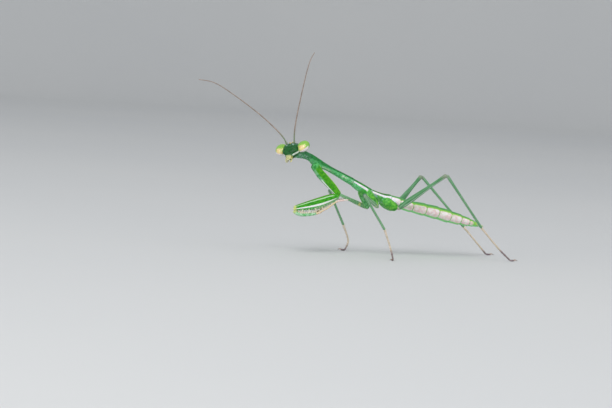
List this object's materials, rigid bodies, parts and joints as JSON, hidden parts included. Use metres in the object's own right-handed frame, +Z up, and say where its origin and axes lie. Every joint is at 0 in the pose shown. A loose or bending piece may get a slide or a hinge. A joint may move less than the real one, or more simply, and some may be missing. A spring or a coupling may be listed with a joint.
{
  "type": "praying mantis nymph model",
  "caption": "Life-size still model of a young green praying mantis, wingless, head turned aside, grasping legs folded, standing on its walking legs.",
  "frame": {"origin": "on the ground under the middle of the whole outline, feelers and feet included", "axes": "+X along the insect toward its tail, -X ahead of it, -Y its left side, +Z up from the ground it stands on"},
  "size_m": [0.074, 0.025, 0.0423],
  "materials": {
    "green_cuticle": "satin green cuticle, darker along the back and paler on the flanks",
    "bright_cuticle": "satin bright green cuticle of the grasping legs and hips",
    "pale_cuticle": "satin pale green cuticle with a whitish stripe along the flank",
    "eye": "glossy yellow-green compound eyes, cream in the middle",
    "mouth": "satin yellow-green mouthparts",
    "foot": "cream feet with darker claws",
    "feeler": "dull grey-brown feelers"
  },
  "bodies": {
    "root": {"eye_left": "eye", "eye_right": "eye", "head": "green_cuticle", "mouthparts": "mouth", "antenna_left": "feeler", "antenna_right": "feeler", "pronotum": "green_cuticle", "neck": "green_cuticle", "mesothorax": "pale_cuticle", "metathorax": "pale_cuticle", "abdomen_1": "pale_cuticle", "abdomen_2": "pale_cuticle", "abdomen_3": "pale_cuticle", "abdomen_4": "pale_cuticle", "abdomen_5": "pale_cuticle", "abdomen_6": "pale_cuticle", "abdomen_7": "pale_cuticle", "abdomen_8": "pale_cuticle", "abdomen_9": "pale_cuticle", "abdomen_10": "pale_cuticle", "cercus_left": "pale_cuticle", "cercus_right": "pale_cuticle", "fore_left_coxa": "bright_cuticle", "fore_left_femur": "bright_cuticle", "fore_left_tibia": "pale_cuticle", "fore_left_tarsus": "foot", "fore_right_coxa": "bright_cuticle", "fore_right_femur": "bright_cuticle", "fore_right_tibia": "pale_cuticle", "fore_right_tarsus": "foot", "mid_left_coxa": "bright_cuticle", "mid_left_femur": "green_cuticle", "mid_left_tibia": "pale_cuticle", "mid_left_tarsus": "foot", "mid_right_coxa": "bright_cuticle", "mid_right_femur": "green_cuticle", "mid_right_tibia": "pale_cuticle", "mid_right_tarsus": "foot", "hind_left_coxa": "bright_cuticle", "hind_left_femur": "green_cuticle", "hind_left_tibia": "pale_cuticle", "hind_left_tarsus": "foot", "hind_right_coxa": "bright_cuticle", "hind_right_femur": "green_cuticle", "hind_right_tibia": "pale_cuticle", "hind_right_tarsus": "foot"}
  },
  "joints": []
}
